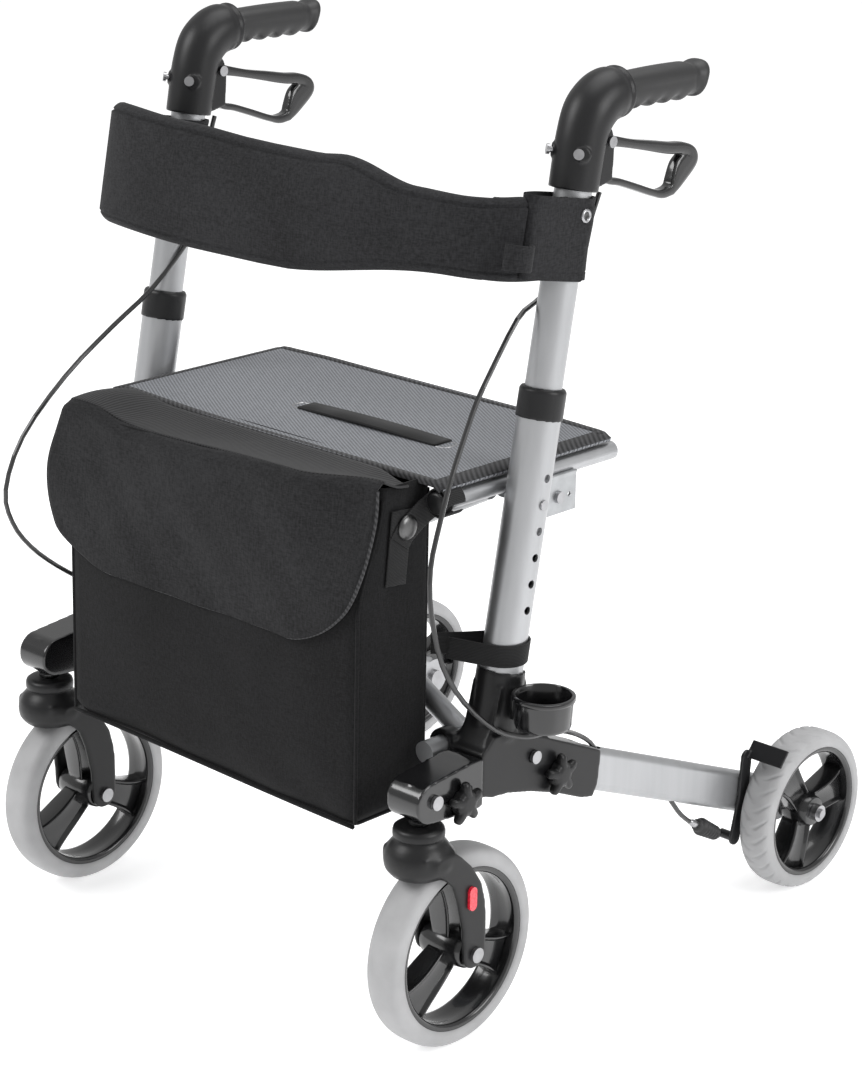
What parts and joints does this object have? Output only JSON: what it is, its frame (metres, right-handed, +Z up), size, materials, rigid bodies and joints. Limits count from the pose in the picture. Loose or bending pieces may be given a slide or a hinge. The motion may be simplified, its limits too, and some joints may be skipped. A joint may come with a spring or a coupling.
{
  "type": "rollator walker",
  "caption": "Folding four-wheel rollator walker with height-adjustable grips, loop brakes, mesh seat, padded backrest strap, bag and cane cup.",
  "frame": {"origin": "middle of the footprint of the whole part, on the ground", "axes": "+Z up, front casters and bag towards -Y, the user's left side and cane cup towards +X"},
  "size_m": [0.664, 0.7196, 0.916],
  "materials": {
    "frame_casting": "satin",
    "silver_tube": "satin",
    "black_plastic": "matte",
    "gloss_black": "gloss",
    "grey_metal": "satin",
    "steel": "satin",
    "cable_black": "satin",
    "boot_rubber": "matte",
    "grip_rubber": "matte",
    "black_metal": "satin",
    "grey_tyre": "matte",
    "red_reflector": "gloss",
    "knob_black": "satin",
    "bag_fabric": "matte",
    "back_fabric": "matte",
    "seat_fabric": "matte",
    "webbing": "matte"
  },
  "bodies": {
    "left_frame": {"left_hub": "frame_casting", "left_lower_tube": "silver_tube", "left_collar": "black_plastic", "left_rear_tube": "silver_tube", "left_caster_arm": "gloss_black", "left_saddle": "grey_metal", "left_fasteners": "steel", "left_cable": "cable_black", "left_brake_boot": "boot_rubber", "cane_cup": "gloss_black", "bag": "bag_fabric"},
    "right_frame": {"right_hub": "frame_casting", "right_lower_tube": "silver_tube", "right_collar": "black_plastic", "right_rear_tube": "silver_tube", "right_caster_arm": "gloss_black", "right_saddle": "grey_metal", "right_fasteners": "steel", "right_cable": "cable_black", "right_brake_boot": "boot_rubber"},
    "brace_a": {"brace_a": "silver_tube", "right_rail": "silver_tube", "brace_pivot": "steel"},
    "brace_b": {"brace_b": "silver_tube", "left_rail": "silver_tube", "seat_mesh": "seat_fabric", "seat_strap": "webbing"},
    "bag_flap": {"bag_flap": "bag_fabric"},
    "left_handle": {"left_upper_tube": "silver_tube", "left_elbow": "black_plastic", "left_grip": "grip_rubber", "left_handle_bolts": "steel", "backrest": "back_fabric"},
    "left_lever": {"left_lever": "gloss_black"},
    "left_brake": {"left_brake_arm": "black_metal"},
    "left_caster": {"left_fork": "black_plastic", "left_caster_axle": "steel", "left_reflector": "red_reflector"},
    "left_front_wheel": {"left_front_tyre": "grey_tyre", "left_front_rim": "gloss_black"},
    "left_rear_wheel": {"left_rear_tyre": "grey_tyre", "left_rear_rim": "gloss_black"},
    "left_front_knob": {"left_front_knob": "knob_black"},
    "left_rear_knob": {"left_rear_knob": "knob_black"},
    "right_handle": {"right_upper_tube": "silver_tube", "right_elbow": "black_plastic", "right_grip": "grip_rubber", "right_handle_bolts": "steel"},
    "right_lever": {"right_lever": "gloss_black"},
    "right_brake": {"right_brake_arm": "black_metal"},
    "right_caster": {"right_fork": "black_plastic", "right_caster_axle": "steel", "right_reflector": "red_reflector"},
    "right_front_wheel": {"right_front_tyre": "grey_tyre", "right_front_rim": "gloss_black"},
    "right_rear_wheel": {"right_rear_tyre": "grey_tyre", "right_rear_rim": "gloss_black"},
    "right_front_knob": {"right_front_knob": "knob_black"},
    "right_rear_knob": {"right_rear_knob": "knob_black"}
  },
  "joints": [
    {"name": "fold", "type": "hinge", "parent": "left_frame", "child": "brace_a", "pos_m": [0.216, -0.1974, 0.285], "axis": [0, 1, 0], "range_deg": [0, 50], "deforming": ["bag", "backrest", "seat_mesh", "seat_strap", "bag_flap"]},
    {"name": "cross_pivot", "type": "hinge", "parent": "brace_a", "child": "brace_b", "pos_m": [-0.012, -0.1834, 0.4075], "axis": [0, 1, 0], "range_deg": [-100, 0]},
    {"name": "right_foot", "type": "hinge", "parent": "brace_b", "child": "right_frame", "pos_m": [-0.24, -0.1704, 0.285], "axis": [0, 1, 0], "range_deg": [0, 50]},
    {"name": "bag_flap_lift", "type": "hinge", "parent": "left_frame", "child": "bag_flap", "pos_m": [-0.012, -0.2534, 0.546], "axis": [-1, 0, 0], "range_deg": [0, 60]},
    {"name": "left_height", "type": "slide", "parent": "left_frame", "child": "left_handle", "axis": [0, 0.1805, 0.9836], "range_m": [-0.1016, 0.0254], "deforming": ["left_cable"]},
    {"name": "left_brake_lever", "type": "hinge", "parent": "left_handle", "child": "left_lever", "pos_m": [0.2495, -0.0724, 0.853], "axis": [1, 0, 0], "range_deg": [0, 16], "stiffness_Nm_per_rad": 2, "springref_deg": -17.19},
    {"name": "left_brake_arm", "type": "hinge", "parent": "left_frame", "child": "left_brake", "pos_m": [0.255, 0.1996, 0.115], "axis": [-1, 0, 0], "range_deg": [0, 14.4], "deforming": ["left_brake_boot"]},
    {"name": "left_caster_swivel", "type": "hinge", "parent": "left_frame", "child": "left_caster", "pos_m": [0.2537, -0.3037, 0.23], "axis": [0, 0, 1], "continuous": true},
    {"name": "left_front_wheel_spin", "type": "hinge", "parent": "left_caster", "child": "left_front_wheel", "pos_m": [0.2537, -0.2574, 0.1], "axis": [1, 0, 0], "continuous": true},
    {"name": "left_rear_wheel_spin", "type": "hinge", "parent": "left_frame", "child": "left_rear_wheel", "pos_m": [0.278, 0.2728, 0.087], "axis": [1, 0, 0], "continuous": true},
    {"name": "left_front_knob_turn", "type": "hinge", "parent": "left_frame", "child": "left_front_knob", "pos_m": [0.278, -0.2684, 0.258], "axis": [1, 0, 0], "continuous": true},
    {"name": "left_rear_knob_turn", "type": "hinge", "parent": "left_frame", "child": "left_rear_knob", "pos_m": [0.274, -0.1284, 0.245], "axis": [1, 0, 0], "continuous": true},
    {"name": "right_height", "type": "slide", "parent": "right_frame", "child": "right_handle", "axis": [0, 0.1805, 0.9836], "range_m": [-0.1016, 0.0254], "deforming": ["right_cable"]},
    {"name": "right_brake_lever", "type": "hinge", "parent": "right_handle", "child": "right_lever", "pos_m": [-0.2735, -0.0724, 0.853], "axis": [1, 0, 0], "range_deg": [0, 16], "stiffness_Nm_per_rad": 2, "springref_deg": -17.19},
    {"name": "right_brake_arm", "type": "hinge", "parent": "right_frame", "child": "right_brake", "pos_m": [-0.279, 0.1996, 0.115], "axis": [-1, 0, 0], "range_deg": [0, 14.4], "deforming": ["right_brake_boot"]},
    {"name": "right_caster_swivel", "type": "hinge", "parent": "right_frame", "child": "right_caster", "pos_m": [-0.2777, -0.3037, 0.23], "axis": [0, 0, 1], "continuous": true},
    {"name": "right_front_wheel_spin", "type": "hinge", "parent": "right_caster", "child": "right_front_wheel", "pos_m": [-0.2777, -0.2574, 0.1], "axis": [1, 0, 0], "continuous": true},
    {"name": "right_rear_wheel_spin", "type": "hinge", "parent": "right_frame", "child": "right_rear_wheel", "pos_m": [-0.302, 0.2728, 0.087], "axis": [1, 0, 0], "continuous": true},
    {"name": "right_front_knob_turn", "type": "hinge", "parent": "right_frame", "child": "right_front_knob", "pos_m": [-0.302, -0.2684, 0.258], "axis": [1, 0, 0], "continuous": true},
    {"name": "right_rear_knob_turn", "type": "hinge", "parent": "right_frame", "child": "right_rear_knob", "pos_m": [-0.298, -0.1284, 0.245], "axis": [1, 0, 0], "continuous": true}
  ],
  "couplings": [
    {"joint": "cross_pivot", "follows": "fold", "ratio": -2},
    {"joint": "right_foot", "follows": "fold", "ratio": 1},
    {"joint": "right_height", "follows": "left_height", "ratio": 1},
    {"joint": "left_brake_arm", "follows": "left_brake_lever", "ratio": 0.9},
    {"joint": "right_brake_arm", "follows": "right_brake_lever", "ratio": 0.9}
  ]
}
